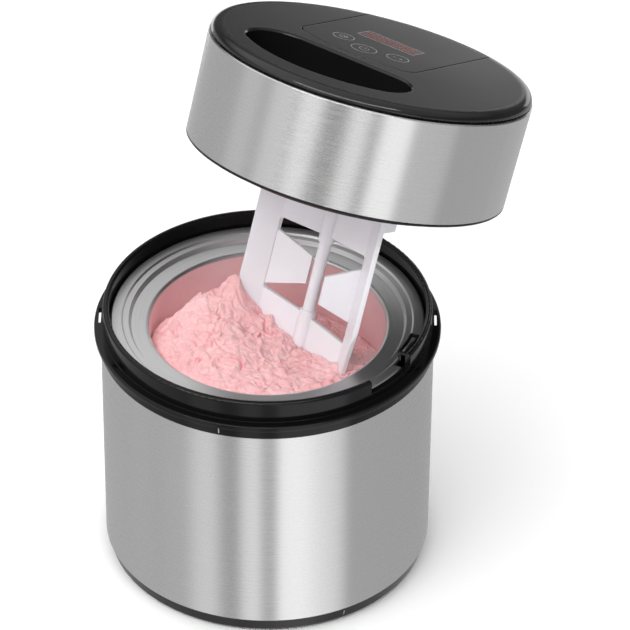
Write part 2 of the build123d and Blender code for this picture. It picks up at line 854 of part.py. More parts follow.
can_low = plate_low + plate_thick
motor_screw_places = ((motor_xy[0] - 10, motor_xy[1]), (motor_xy[0] + 10, motor_xy[1]))
motor_shaft_r = 1.6
with BuildPart() as motor_can:
    with BuildSketch(lid_section(motor_xy)):
        with BuildLine():
            Polyline(
                (motor_shaft_r + running_gap, can_low),
                (motor_r, can_low),
                (motor_r, can_low + can_height),
                (motor_r - 1.2, can_low + can_height),
                (motor_r - 1.2, can_low + 2.0),
                (motor_shaft_r + running_gap, can_low + 2.0),
                close=True,
            )
        make_face()
    revolve(axis=lid_axis(motor_xy))
    with BuildSketch(lid_level(can_low)):
        with Locations(*motor_screw_places):
            Circle(1.3)
    extrude(amount=2.0, mode=Mode.SUBTRACT)
finish(motor_can, "motor_can")

with BuildPart() as motor_screws:
    with BuildSketch(lid_level(plate_low - 1.6)):
        with Locations(*motor_screw_places):
            Circle(2.4)
    extrude(amount=1.6)
    with BuildSketch(lid_level(plate_low)):
        with Locations(*motor_screw_places):
            Circle(1.25)
    extrude(amount=plate_thick + 1.8)
finish(motor_screws, "motor_screws")

with BuildPart() as motor_end_cap:
    with BuildSketch(lid_section(motor_xy)):
        with BuildLine():
            cap_low = can_low + can_height
            Polyline(
                (motor_shaft_r + running_gap, cap_low),
                (motor_r, cap_low),
                (motor_r, cap_low + 1.5),
                (6.0, cap_low + 1.5),
                (6.0, cap_low + 4.0),
                (motor_shaft_r + running_gap, cap_low + 4.0),
                close=True,
            )
        make_face()
    revolve(axis=lid_axis(motor_xy))
finish(motor_end_cap, "motor_end_cap")

with BuildPart() as motor_rotor:
    with BuildSketch(lid_level(large_low - 0.4, motor_xy)):
        Circle(motor_shaft_r)
    extrude(amount=can_low + can_height + 3.6 - large_low)
    with BuildSketch(lid_level(can_low + 4, motor_xy)):
        Circle(12.0)
    extrude(amount=can_height - 8)
finish(motor_rotor, "motor_rotor")


def facing(start, end):
    """Bearing from one centre to another, in degrees."""
    away = atan2(end[1] - start[1], end[0] - start[0])
    return degrees(away)


def gap_facing(start, end, teeth):
    """Turn that puts the middle of a tooth gap on the line from one centre to another."""
    return facing(start, end) + 180.0 / teeth


centre_xy = (0.0, 0.0)
with BuildPart() as output_gear:
    with BuildSketch(lid_level(output_low)):
        with BuildLine():
            Polyline(*gear_outline(module_final, teeth_output, facing(centre_xy, idler_xy)), close=True)
        make_face()
        Circle(shaft_r, mode=Mode.SUBTRACT)
        with PolarLocations(16.0, 6):
            Circle(4.0, mode=Mode.SUBTRACT)
    extrude(amount=output_face)
finish(output_gear, "output_gear")

with BuildPart() as compound_gear:
    with BuildSketch(lid_level(output_low - 0.4, idler_xy)):
        with BuildLine():
            small_turn = gap_facing(idler_xy, centre_xy, teeth_small)
            Polyline(*gear_outline(module_final, teeth_small, small_turn), close=True)
        make_face()
    extrude(amount=large_low - output_low + 0.4)
    with BuildSketch(lid_level(large_low, idler_xy)):
        with BuildLine():
            large_turn = facing(idler_xy, motor_xy)
            Polyline(*gear_outline(module_first, teeth_large, large_turn), close=True)
        make_face()
    extrude(amount=large_face)
    with BuildSketch(lid_level(output_low - 1, idler_xy)):
        Circle(2.5 + running_gap)
    extrude(amount=30, mode=Mode.SUBTRACT)
finish(compound_gear, "compound_gear")

with BuildPart() as pinion:
    with BuildSketch(lid_level(large_low - 0.2, motor_xy)):
        with BuildLine():
            pinion_turn = gap_facing(motor_xy, idler_xy, teeth_pinion)
            Polyline(*gear_outline(module_first, teeth_pinion, pinion_turn), close=True)
        make_face()
        Circle(motor_shaft_r, mode=Mode.SUBTRACT)
    extrude(amount=large_face + 0.4)
finish(pinion, "pinion")

with BuildPart() as output_shaft:
    with BuildSketch(lid_level(0)):
        Circle(shaft_r)
    extrude(amount=plate_low + plate_thick)
    with BuildSketch(lid_level(0)):
        RegularPolygon(drive_across_flats / 2, 6, major_radius=False)
    extrude(amount=-drive_depth)
    with BuildSketch(lid_level(7.5)):
        Circle(shaft_r + 1)
        Circle(shaft_r - 0.6, mode=Mode.SUBTRACT)
    extrude(amount=0.9, mode=Mode.SUBTRACT)
finish(output_shaft, "output_shaft")

with BuildPart() as shaft_clip:
    with BuildSketch(lid_level(7.55)):
        Circle(6.6)
        Circle(shaft_r - 0.55, mode=Mode.SUBTRACT)
        with Locations((6, 0)):
            Rectangle(8, 3.0, mode=Mode.SUBTRACT)
    extrude(amount=0.8)
finish(shaft_clip, "shaft_clip")

# ---------------------------------------------------------------- power supply
with BuildPart() as power_board:
    with BuildSketch(lid_level(power_low, power_centre)):
        Rectangle(*power_size)
    extrude(amount=1.6)
finish(power_board, "power_board")

with BuildPart() as transformer:
    with BuildSketch(lid_level(power_low + 1.6, (power_centre[0] - 14, power_centre[1]))):
        Rectangle(24.0, 20.0)
    extrude(amount=18.0)
    chamfer(transformer.edges().filter_by(LID_AXIS), length=1.5)
finish(transformer, "transformer")

with BuildPart() as capacitors:
    with BuildSketch(lid_level(power_low + 1.6, power_centre)):
        with Locations((14, -7), (14, 7)):
            Circle(5.0)
    extrude(amount=16.0)
    chamfer(capacitors.edges().group_by(LID_AXIS)[-1], length=0.6)
finish(capacitors, "capacitors")

# ---------------------------------------------------------------- paddle
hinge_right, hinge_left = hinge_plan, (hinge_plan[0], -hinge_plan[1])
edge_right, edge_left = edge_plan, (edge_plan[0], -edge_plan[1])
paddle_x = LID.x_dir * cos(radians(paddle_turn)) + LID.y_dir * sin(radians(paddle_turn))
PADDLE = Plane(LID.origin, x_dir=paddle_x, z_dir=LID.z_dir)


def paddle_level(depth):
    return PADDLE.offset(-depth)


def upright(start, end):
    """Plane that holds two places of the plan and the axis direction; x runs from start to end."""
    origin = PADDLE.from_local_coords((start[0], start[1], 0))
    along = PADDLE.from_local_coords((end[0], end[1], 0)) - origin
    return Plane(origin, x_dir=along, z_dir=along.cross(PADDLE.z_dir))


with BuildPart() as paddle:
    # blades: web and bent outer strip on each side of the stem
    with BuildSketch(paddle_level(paddle_low)):
        with BuildLine():
            Polyline(edge_left, hinge_left, (0, 0), hinge_right, edge_right)
        trace(line_width=paddle_thick)
        with Locations(hinge_left, hinge_right):
            Circle(paddle_thick / 2)
    extrude(amount=paddle_low - paddle_top)
    # windows
    with BuildSketch(Plane(PADDLE.origin, x_dir=PADDLE.y_dir, z_dir=PADDLE.x_dir)) as windows:
        for sides, low in ((window_left, window_left_low), (window_right, window_right_low)):
            with BuildLine():
                Polyline(
                    (sides[0], -window_top),
                    (sides[1], -window_top),
                    (sides[1], -low[1]),
                    (sides[0], -low[0]),
                    close=True,
                )
            make_face()
        fillet(windows.vertices(), window_corner_r)
    extrude(amount=2 * hub_r, both=True, mode=Mode.SUBTRACT)
    # outer edges drawn in towards the foot
    with BuildSketch(Plane(PADDLE.origin, x_dir=PADDLE.x_dir, z_dir=-PADDLE.y_dir)):
        with BuildLine():
            edge_r = sqrt(edge_plan[0] ** 2 + edge_plan[1] ** 2)
            Polyline(
                (edge_r + 1, -edge_taper_from),
                (edge_taper_r, -paddle_low - 1),
                (edge_r + 12, -paddle_low - 1),
                (edge_r + 12, -edge_taper_from),
                close=True,
            )
        make_face()
    revolve(axis=LID_AXIS, mode=Mode.SUBTRACT)
    # flaps
    for hinge, free in ((hinge_right, flap_free_right), (hinge_left, flap_free_left)):
        reach = sqrt((free[0] - hinge[0]) ** 2 + (free[1] - hinge[1]) ** 2)
        with BuildSketch(upright(hinge, free)):
            with BuildLine():
                Polyline(
                    (0, -flap_hinge_top),
                    (reach, -flap_free_top),
                    (reach, -flap_free_low),
                    (0, -flap_hinge_low),
                    close=True,
                )
            make_face()
        extrude(amount=flap_thick / 2, both=True)
    # tab at the head of the right-hand strip
    with BuildSketch(paddle_level(tab_low)):
        with Locations((edge_plan[0] - tab_length / 2, edge_plan[1] - paddle_thick / 2)):
            Rectangle(tab_length, paddle_thick)
    extrude(amount=tab_low - tab_top)
    # stem with its two hubs
    with BuildSketch(paddle_level(paddle_low)):
        Circle(foot_hub_r)
    extrude(amount=paddle_low - foot_hub_top)
    with BuildSketch(paddle_level(foot_hub_top)):
        Circle(stem_r)
    extrude(amount=foot_hub_top - hub_low)
    with BuildSketch(paddle_level(hub_low)):
        Circle(hub_r)
    extrude(amount=hub_low - 0.5)
    # hexagonal drive socket
    with BuildSketch(lid_level(-drive_depth - 1)):
        RegularPolygon(drive_across_flats / 2 + 0.05, 6, major_radius=False)
    extrude(amount=drive_depth + 1, mode=Mode.SUBTRACT)
finish(paddle, "paddle")
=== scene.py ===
"""Looks of the ice cream maker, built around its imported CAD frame. Metres, row frame."""
import math

import bmesh
import bpy
import numpy as np
from mathutils import Matrix, Vector, noise


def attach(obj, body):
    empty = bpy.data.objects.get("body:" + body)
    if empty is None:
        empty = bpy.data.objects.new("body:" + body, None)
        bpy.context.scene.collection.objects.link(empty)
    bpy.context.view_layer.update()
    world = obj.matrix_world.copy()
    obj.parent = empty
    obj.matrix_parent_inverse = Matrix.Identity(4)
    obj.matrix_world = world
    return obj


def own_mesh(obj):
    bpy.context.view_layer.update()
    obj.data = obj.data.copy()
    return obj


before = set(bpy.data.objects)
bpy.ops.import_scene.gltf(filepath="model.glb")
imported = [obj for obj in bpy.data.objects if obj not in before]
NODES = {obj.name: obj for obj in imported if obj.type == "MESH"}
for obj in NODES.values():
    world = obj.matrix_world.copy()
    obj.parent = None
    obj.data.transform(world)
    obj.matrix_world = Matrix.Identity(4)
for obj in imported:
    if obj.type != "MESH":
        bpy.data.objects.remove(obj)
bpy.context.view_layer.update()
MM = 0.001

# ---------------------------------------------------------------- lid frame (bottom centre and axes)
LID_AT = Vector((0.0455, 0.0258, 0.2565))
LID_LEAN, LID_LEAN_AZIMUTH, LID_TURN = 22.1, 52.7, -87.1


def lid_rotation():
    lean_about_z = Matrix.Rotation(math.radians(LID_LEAN_AZIMUTH), 3, "Z")
    lean = Matrix.Rotation(math.radians(LID_LEAN), 3, "Y")
    turn = Matrix.Rotation(math.radians(LID_TURN), 3, "Z")
    return lean_about_z @ lean @ turn


LID_TURNED = lid_rotation()
LID_X, LID_Y, LID_Z = (LID_TURNED.col[i].copy() for i in range(3))
UP = Vector((0, 0, 1))


def in_lid(x, y, z):
    """Point given in millimetres in the lid's own frame."""
    return LID_AT + LID_TURNED @ (Vector((x, y, z)) * MM)


# ---------------------------------------------------------------- camera
CAMERA_AT = Vector((0.028379, -2.381970, 1.920752))
CAMERA_PITCH = 0.6349
CAMERA_ROLL = 0.0085
SENSOR = 36.0
LENS = 282.35


def make_camera():
    data = bpy.data.cameras.new("camera")
    data.sensor_width = SENSOR
    data.lens = LENS
    data.clip_start, data.clip_end = 0.1, 20.0
    cam = bpy.data.objects.new("camera", data)
    bpy.context.scene.collection.objects.link(cam)
    ahead = Vector((0, math.cos(CAMERA_PITCH), -math.sin(CAMERA_PITCH)))
    level = Vector((1, 0, 0))
    above = level.cross(ahead)
    right = level * math.cos(CAMERA_ROLL) + above * math.sin(CAMERA_ROLL)
    upward = above * math.cos(CAMERA_ROLL) - level * math.sin(CAMERA_ROLL)
    turned = Matrix((right, upward, -ahead)).transposed()
    cam.matrix_world = Matrix.Translation(CAMERA_AT) @ turned.to_4x4()
    bpy.context.scene.camera = cam


make_camera()
bpy.context.scene.view_settings.view_transform = "Standard"


# ---------------------------------------------------------------- node helpers
class Nodes:
    """Small builder for a node tree."""

    def __init__(self, tree):
        self.tree = tree

    def new(self, kind, **settings):
        node = self.tree.nodes.new(kind)
        for key, value in settings.items():
            setattr(node, key, value)
        return node

    def put(self, socket, value):
        if isinstance(value, bpy.types.NodeSocket):
            self.tree.links.new(value, socket)
        else:
            socket.default_value = value

    def math(self, operation, a, b=0.0, c=0.0, clamp=False):
        node = self.new("ShaderNodeMath", operation=operation, use_clamp=clamp)
        for socket, value in zip(node.inputs, (a, b, c)):
            self.put(socket, value)
        return node.outputs[0]

    def vector(self, operation, a, b=(0, 0, 0), scale=None):
        node = self.new("ShaderNodeVectorMath", operation=operation)
        self.put(node.inputs[0], a)
        self.put(node.inputs[1], b)
        if scale is not None:
            self.put(node.inputs["Scale"], scale)
        return node.outputs["Value" if operation in ("DOT_PRODUCT", "LENGTH") else "Vector"]

    def combine(self, x, y, z):
        node = self.new("ShaderNodeCombineXYZ")
        for socket, value in zip(node.inputs, (x, y, z)):
            self.put(socket, value)
        return node.outputs[0]

    def separate(self, vector):
        node = self.new("ShaderNodeSeparateXYZ")
        self.put(node.inputs[0], vector)
        return node.outputs

    def noise(self, vector, scale, detail=2.0, roughness=0.5, distortion=0.0):
        node = self.new("ShaderNodeTexNoise")
        self.put(node.inputs["Vector"], vector)
        self.put(node.inputs["Scale"], scale)
        self.put(node.inputs["Detail"], detail)
        self.put(node.inputs["Roughness"], roughness)
        self.put(node.inputs["Distortion"], distortion)
        return node.outputs["Fac"]

    def ramp(self, factor, stops, interpolation="LINEAR"):
        node = self.new("ShaderNodeValToRGB")
        node.color_ramp.interpolation = interpolation
        points = node.color_ramp.elements
        while len(points) < len(stops):
            points.new(0.5)
        for point, (place, colour) in zip(points, stops):
            point.position = place
            point.color = (*colour, 1.0) if len(colour) == 3 else colour
        self.put(node.inputs["Fac"], factor)
        return node.outputs["Color"]

    def mix(self, factor, a, b):
        node = self.new("ShaderNodeMix", data_type="RGBA")
        self.put(node.inputs["Factor"], factor)
        self.put(node.inputs["A"], a)
        self.put(node.inputs["B"], b)
        return node.outputs["Result"]

    def map_range(self, value, from_low, from_high, to_low, to_high):
        node = self.new("ShaderNodeMapRange")
        for socket, number in zip(node.inputs, (value, from_low, from_high, to_low, to_high)):
            self.put(socket, number)
        return node.outputs["Result"]

    def tones(self, factor, dark, light, low=0.3, high=0.7):
        """Colour that runs from dark to light as the factor runs from low to high."""
        return self.ramp(factor, [(low, dark), (high, light)])

    def polar_noise(self, angle, along, third, detail, roughness):
        """Noise drawn out round an axis: few turns of the angle against many grains along it."""
        return self.noise(self.combine(angle, along, third), 1.0, detail, roughness)

    def to_world(self, way):
        """Direction given in the object's frame, as the tangent socket takes it."""
        frames = {"convert_from": "OBJECT", "convert_to": "WORLD"}
        turn = self.new("ShaderNodeVectorTransform", vector_type="VECTOR", **frames)
        self.put(turn.inputs[0], way)
        return turn.outputs[0]

    def bump(self, height, strength, distance, normal=None):
        node = self.new("ShaderNodeBump")
        self.put(node.inputs["Height"], height)
        self.put(node.inputs["Strength"], strength)
        self.put(node.inputs["Distance"], distance)
        if normal is not None:
            self.put(node.inputs["Normal"], normal)
        return node.outputs["Normal"]

    def rounded(self, radius):
        """Normal with the sharp edges softened, so that they catch the light."""
        node = self.new("ShaderNodeBevel", samples=4)
        self.put(node.inputs["Radius"], radius)
        return node.outputs[0]

    def place(self):
        """Position in the row frame at rest."""
        return self.new("ShaderNodeTexCoord").outputs["Object"]


def start_material(name, **shader):
    """New material and its builder; shader settings are given by socket name with _ for space."""
    made = bpy.data.materials.new(name)
    made.use_nodes = True
    build = Nodes(made.node_tree)
    build.bsdf = made.node_tree.nodes["Principled BSDF"]
    for key, value in shader.items():
        build.put(build.bsdf.inputs[key.replace("_", " ")], value)
    return made, build


# ---------------------------------------------------------------- materials
def brushed_steel(name, at, axis, level=0.62, roughness=0.27, anisotropy=0.97):
    """Sheet steel brushed around an axis: the lobe is drawn out along the axis."""
    made, n = start_material(name, Metallic=1.0, Anisotropic=anisotropy)
    place = n.vector("SUBTRACT", n.place(), tuple(at))
    across = axis.orthogonal().normalized()
    third = axis.cross(across)
    height = n.vector("DOT_PRODUCT", place, tuple(axis))
    x = n.vector("DOT_PRODUCT", place, tuple(across))
    y = n.vector("DOT_PRODUCT", place, tuple(third))
    angle = n.math("ARCTAN2", y, x)
    fine_angle, fine_height = n.math("MULTIPLY", angle, 5.0), n.math("MULTIPLY", height, 2600.0)
    coarse_angle, coarse_height = n.math("MULTIPLY", angle, 2.0), n.math("MULTIPLY", height, 700.0)
    fine = n.polar_noise(fine_angle, fine_height, x, 3, 0.7)
    coarse = n.polar_noise(coarse_angle, coarse_height, y, 2, 0.6)
    grain = n.math("ADD", n.math("MULTIPLY", fine, 0.6), n.math("MULTIPLY", coarse, 0.4))
    tone = n.map_range(grain, 0.3, 0.7, level * 0.95, level * 1.03)
    n.put(n.bsdf.inputs["Base Color"], n.combine(tone, tone, tone))
    n.put(n.bsdf.inputs["Roughness"], n.map_range(grain, 0.3, 0.7, roughness - 0.03, roughness + 0.03))
    n.put(n.bsdf.inputs["Normal"], n.bump(grain, 0.035, 0.0001, n.rounded(0.0005)))
    n.put(n.bsdf.inputs["Tangent"], n.to_world(tuple(axis)))
    return made


def moulded(
    name, colour, roughness, grain_scale=2500.0, grain_depth=0.00004, grain=0.25, edge=0.0003, **shader
):
    """Moulded plastic or rubber with a fine surface grain and slight tone changes."""
    made, n = start_material(name, **shader)
    place = n.place()
    fine = n.noise(place, grain_scale, 2, 0.6)
    broad = n.noise(place, 18.0, 2, 0.5)
    dark = tuple(c * 0.9 for c in colour)
    light = tuple(min(1.0, c * 1.08) for c in colour)
    n.put(n.bsdf.inputs["Base Color"], n.tones(broad, dark, light))
    n.put(n.bsdf.inputs["Roughness"], n.map_range(broad, 0.3, 0.7, roughness - 0.03, roughness + 0.03))
    n.put(n.bsdf.inputs["Normal"], n.bump(fine, grain, grain_depth, n.rounded(edge)))
    return made


def lid_black(name):
    """Black lid plastic: satin on top, polished in the handle pocket and round the edge."""
    made, n = start_material(name)
    place = n.vector("SUBTRACT", n.place(), tuple(LID_AT))
    x = n.vector("DOT_PRODUCT", place, tuple(LID_X))
    y = n.vector("DOT_PRODUCT", place, tuple(LID_Y))
    height = n.vector("DOT_PRODUCT", place, tuple(LID_Z))
    radius = n.vector("LENGTH", n.combine(x, y, 0.0))
    edge = n.map_range(radius, 0.0895, 0.0925, 0.0, 1.0)
    sunk = n.map_range(height, 0.0700, 0.0692, 0.0, 1.0)
    polished = n.math("MAXIMUM", edge, sunk)
    broad = n.noise(place, 18.0, 2, 0.5)
    fine = n.noise(place, 2500.0, 2, 0.6)
    n.put(n.bsdf.inputs["Base Color"], n.tones(broad, (0.006, 0.006, 0.006), (0.008, 0.008, 0.008)))
    satin = n.map_range(broad, 0.3, 0.7, 0.31, 0.35)
    satin_everywhere = n.combine(satin, satin, satin)
    n.put(n.bsdf.inputs["Roughness"], n.mix(polished, satin_everywhere, (0.07, 0.07, 0.07, 1.0)))
    n.put(n.bsdf.inputs["Specular IOR Level"], n.map_range(polished, 0.0, 1.0, 0.28, 0.5))
    n.put(n.bsdf.inputs["Normal"], n.bump(fine, 0.08, 0.00002, n.rounded(0.0009)))
    return made


def spun_aluminium(name, level, roughness, film=False):
    """Spun aluminium turned about the bowl's axis; inside the cavity a thin film of ice cream."""
    made, n = start_material(name, Anisotropic=0.6)
    place = n.place()
    x, y, z = n.separate(place)
    radius = n.math("SQRT", n.math("ADD", n.math("MULTIPLY", x, x), n.math("MULTIPLY", y, y)))
    angle = n.math("ARCTAN2", y, x)
    run = n.math("ADD", radius, z)
    rings = n.polar_noise(n.math("MULTIPLY", angle, 1.5), n.math("MULTIPLY", run, 1800.0), 0.0, 3, 0.6)
    tone = n.map_range(rings, 0.3, 0.7, level * 0.92, level * 1.05)
    metal_colour = n.combine(tone, tone, tone)
    n.put(n.bsdf.inputs["Normal"], n.bump(rings, 0.08, 0.0001))
    normal_out = n.vector("NORMALIZE", n.combine(x, y, 0.0))
    n.put(n.bsdf.inputs["Tangent"], n.to_world(normal_out))
    if film:
        inside = n.math("MULTIPLY", n.math("LESS_THAN", z, 0.1590), n.math("LESS_THAN", radius, 0.0714))
        smear = n.noise(place, 26.0, 4, 0.6)
        pink = n.tones(smear, (0.90, 0.58, 0.60), (0.95, 0.68, 0.69))
        n.put(n.bsdf.inputs["Base Color"], n.mix(inside, metal_colour, pink))
        n.put(n.bsdf.inputs["Metallic"], n.map_range(inside, 0.0, 1.0, 1.0, 0.1))
        n.put(n.bsdf.inputs["Roughness"], n.map_range(inside, 0.0, 1.0, roughness, 0.5))
    else:
        n.put(n.bsdf.inputs["Base Color"], metal_colour)
        n.put(n.bsdf.inputs["Metallic"], 1.0)
        n.put(n.bsdf.inputs["Roughness"], roughness)
    return made


def plain_metal(name, colour, roughness):
    """Turned, ground or cast metal of the hidden pieces."""
    made, n = start_material(name, Metallic=1.0)
    fine = n.noise(n.place(), 900.0, 3, 0.6)
    dark = tuple(c * 0.88 for c in colour)
    n.put(n.bsdf.inputs["Base Color"], n.tones(fine, dark, colour))
    n.put(n.bsdf.inputs["Roughness"], n.map_range(fine, 0.3, 0.7, roughness - 0.05, roughness + 0.05))
    n.put(n.bsdf.inputs["Normal"], n.bump(fine, 0.1, 0.00005))
    return made


def milky_plastic(name):
    """White polypropylene that lets some light through."""
    made, n = start_material(
        name,
        Subsurface_Weight=0.35,
        Subsurface_Radius=(0.9, 0.8, 1.0),
        Subsurface_Scale=0.004,
        Specular_IOR_Level=0.45,
    )
    place = n.place()
    broad = n.noise(place, 22.0, 2, 0.5)
    n.put(n.bsdf.inputs["Base Color"], n.tones(broad, (0.77, 0.755, 0.79), (0.82, 0.80, 0.84)))
    n.put(n.bsdf.inputs["Roughness"], n.map_range(broad, 0.3, 0.7, 0.32, 0.40))
    n.put(n.bsdf.inputs["Normal"], n.bump(n.noise(place, 1500.0, 2, 0.5), 0.1, 0.00004, n.rounded(0.0004)))
    return made


def ice_cream_material():
    made, n = start_material(
        "strawberry_ice_cream",
        Subsurface_Weight=0.3,
        Subsurface_Radius=(1.0, 0.45, 0.4),
        Subsurface_Scale=0.002,
        Specular_IOR_Level=0.35,
    )
    place = n.place()
    broad = n.noise(place, 55.0, 4, 0.6)
    crumb = n.noise(place, 420.0, 4, 0.65)
    frost = n.noise(place, 1300.0, 3, 0.6)
    tone = n.math("ADD", n.math("MULTIPLY", broad, 0.5), n.math("MULTIPLY", crumb, 0.5))
    pale = n.ramp(tone, [(0.3, (0.77, 0.40, 0.415)), (0.5, (0.85, 0.51, 0.52)), (0.72, (0.90, 0.61, 0.61))])
    # painted shade: the cracks and torn edges of the relief are coloured a darker, deeper pink, as if in
    # shade
    painted_crevice_shade = n.new("ShaderNodeAttribute", attribute_name="painted_crevice_shade").outputs["Fac"]
    colour = n.mix(n.math("MULTIPLY", painted_crevice_shade, 0.55), pale, (0.72, 0.20, 0.24, 1.0))
    n.put(n.bsdf.inputs["Base Color"], colour)
    n.put(n.bsdf.inputs["Roughness"], n.map_range(frost, 0.3, 0.7, 0.45, 0.65))
    rough = n.bump(crumb, 0.6, 0.0008)
    n.put(n.bsdf.inputs["Normal"], n.bump(frost, 0.5, 0.0004, rough))
    return made


def circuit_board(name):
    made, n = start_material(name, Roughness=0.45)
    place = n.place()
    traces = n.noise(n.vector("SNAP", place, (0.0012, 0.0012, 0.0012)), 260.0, 1, 0.5)
    n.put(n.bsdf.inputs["Base Color"], n.tones(traces, (0.02, 0.13, 0.05), (0.05, 0.24, 0.09), 0.45, 0.55))
    return made


def display_glass():
    """Red filter over the display: dark, glossy, with a faint cell pattern."""
    made, n = start_material("display_filter", Roughness=0.22)
    cells = n.noise(n.place(), 700.0, 2, 0.5)
    colour = n.tones(cells, (0.035, 0.006, 0.005), (0.055, 0.009, 0.008), 0.35, 0.65)
    n.put(n.bsdf.inputs["Base Color"], colour)
    return made


def lit_segment():
    made, n = start_material("lit_segment", Roughness=0.3, Emission_Strength=0.04)
    n.put(n.bsdf.inputs["Emission Color"], (1.0, 0.10, 0.06, 1.0))
    glow = n.noise(n.place(), 900.0, 1, 0.5)
    n.put(n.bsdf.inputs["Base Color"], n.tones(glow, (0.12, 0.012, 0.010), (0.17, 0.018, 0.014)))
    return made


def printed_ink():
    made, n = start_material("printed_ink", Roughness=0.5)
    worn = n.noise(n.place(), 800.0, 2, 0.5)
    n.put(n.bsdf.inputs["Base Color"], n.tones(worn, (0.27, 0.27, 0.275), (0.36, 0.36, 0.365)))
    return made


BODY_STEEL = brushed_steel("body_brushed_steel", (0, 0, 0), UP)
BAND_STEEL = brushed_steel("lid_brushed_steel", LID_AT, LID_Z)
LID_BLACK = lid_black("lid_black")
GLOSS_COLLAR = moulded(
    "gloss_black_collar", (0.004, 0.004, 0.004), 0.14, grain=0.04, edge=0.0007, Specular_IOR_Level=0.25
)
BASE_BLACK = moulded("base_black", (0.006, 0.006, 0.006), 0.28, grain=0.08, Specular_IOR_Level=0.25)
RUBBER = moulded("soft_black_rubber", (0.025, 0.025, 0.025), 0.75, 1500.0, 0.00008, 0.4)
LINER = moulded("grey_liner", (0.22, 0.22, 0.22), 0.55)
INNER = moulded("inner_black", (0.03, 0.03, 0.03), 0.6)
GEAR = moulded("acetal_gear", (0.80, 0.80, 0.76), 0.45)
GEL = moulded("coolant_gel", (0.25, 0.52, 0.70), 0.35)
SLEEVED = moulded("capacitor_sleeve", (0.03, 0.05, 0.20), 0.25)
SCREW = plain_metal("screw_steel", (0.62, 0.62, 0.60), 0.3)
ZINC = plain_metal("zinc_plate", (0.55, 0.55, 0.53), 0.42)
GROUND = plain_metal("ground_shaft", (0.66, 0.66, 0.65), 0.22)
BRASS = plain_metal("brass_bush", (0.72, 0.54, 0.26), 0.32)
IRON = plain_metal("rotor_iron", (0.20, 0.20, 0.20), 0.5)
BOARD = circuit_board("circuit_board")

FINISHES = {
    "base_tray": BASE_BLACK,
    "rubber_feet": RUBBER,
    "base_screws": SCREW,
    "steel_sleeve": BODY_STEEL,
    "well_liner": LINER,
    "collar": GLOSS_COLLAR,
    "collar_clip": GLOSS_COLLAR,
    "bowl_inner": spun_aluminium("spun_aluminium_bowl", 0.66, 0.36, film=True),
    "bowl_outer": spun_aluminium("spun_aluminium_shell", 0.62, 0.35),
    "bowl_seal": RUBBER,
    "coolant": GEL,
    "filler_plug": RUBBER,
    "steel_band": BAND_STEEL,
    "top_cap": LID_BLACK,
    "control_panel": LID_BLACK,
    "display_window": display_glass(),
    "led_display": lit_segment(),
    "control_board": BOARD,
    "touch_pads": RUBBER,
    "beeper": INNER,
    "bottom_cover": BASE_BLACK,
    "lid_screws": SCREW,
    "cord_grommet": RUBBER,
    "lower_bush": BRASS,
    "shaft_seal": RUBBER,
    "gear_plate": ZINC,
    "plate_screws": SCREW,
    "upper_bush": BRASS,
    "idler_axle": GROUND,
    "motor_can": ZINC,
    "motor_screws": SCREW,
    "motor_end_cap": INNER,
    "power_board": BOARD,
    "transformer": INNER,
    "capacitors": SLEEVED,
    "motor_rotor": IRON,
    "pinion": BRASS,
    "compound_gear": GEAR,
    "output_gear": GEAR,
    "output_shaft": GROUND,
    "shaft_clip": SCREW,
    "paddle": milky_plastic("milky_paddle"),
}
for node_name, finish in FINISHES.items():
    mesh = NODES[node_name].data
    mesh.materials.clear()
    mesh.materials.append(finish)


# ---------------------------------------------------------------- printed marks on the lid
def mesh_piece(name, builder, material, body):
    made = bpy.data.meshes.new(name)
    builder.to_mesh(made)
    builder.free()
    made.materials.append(material)
    piece = bpy.data.objects.new(name, made)
    bpy.context.scene.collection.objects.link(piece)
    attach(piece, body)
    return piece


PANEL_TOP = 70.0
PRINT_THICK = 0.06


def add_slab(builder, outline, low=PANEL_TOP - 0.02, thick=PRINT_THICK):
    """Thin closed prism on the panel from an outline in the lid's plan."""
    bottom = [builder.verts.new(in_lid(x, y, low)) for x, y in outline]
    top = [builder.verts.new(in_lid(x, y, low + thick)) for x, y in outline]
    builder.faces.new(list(reversed(bottom)))
    builder.faces.new(top)
    for i in range(len(outline)):
        j = (i + 1) % len(outline)
        builder.faces.new((bottom[i], bottom[j], top[j], top[i]))


def add_ring(builder, centre, radius, width, start=0.0, end=360.0, steps=48):
    """Closed or open ring band, made of short slabs that share no faces."""
    full = abs(end - start) >= 360.0
    angles = [math.radians(start + (end - start) * i / steps) for i in range(steps + 1)]
    inner, outer = radius - width / 2, radius + width / 2
    levels = (PANEL_TOP - 0.02, PANEL_TOP - 0.02 + PRINT_THICK)
    rows = []
    for a in angles[: steps if full else steps + 1]:
        row = []
        for r in (inner, outer):
            for level in levels:
                at = in_lid(centre[0] + r * math.cos(a), centre[1] + r * math.sin(a), level)
                row.append(builder.verts.new(at))
        rows.append(row)
    count = len(rows)
    for i in range(count if full else count - 1):
        a, b = rows[i], rows[(i + 1) % count]
        builder.faces.new((a[1], a[3], b[3], b[1]))
        builder.faces.new((a[0], b[0], b[2], a[2]))
        builder.faces.new((a[0], a[1], b[1], b[0]))
        builder.faces.new((a[2], b[2], b[3], a[3]))
    if not full:
        builder.faces.new((rows[0][0], rows[0][2], rows[0][3], rows[0][1]))
        builder.faces.new((rows[-1][0], rows[-1][1], rows[-1][3], rows[-1][2]))


def add_bar(builder, start, end, width, **slab):
    along = Vector(end) - Vector(start)
    side = Vector((-along.y, along.x)).normalized() * (width / 2)
    corners = [Vector(start) + side, Vector(start) - side, Vector(end) - side, Vector(end) + side]
    add_slab(builder, [(c.x, c.y) for c in corners], **slab)


DISPLAY_AT = (-10.5, 37.3)
DISPLAY_SIZE = (39.0, 13.5)
TOUCH = (((-29.8, 13.6), 6.5), ((-10.5, 6.0), 7.8), ((8.8, 13.6), 6.7))
LINE = 0.42


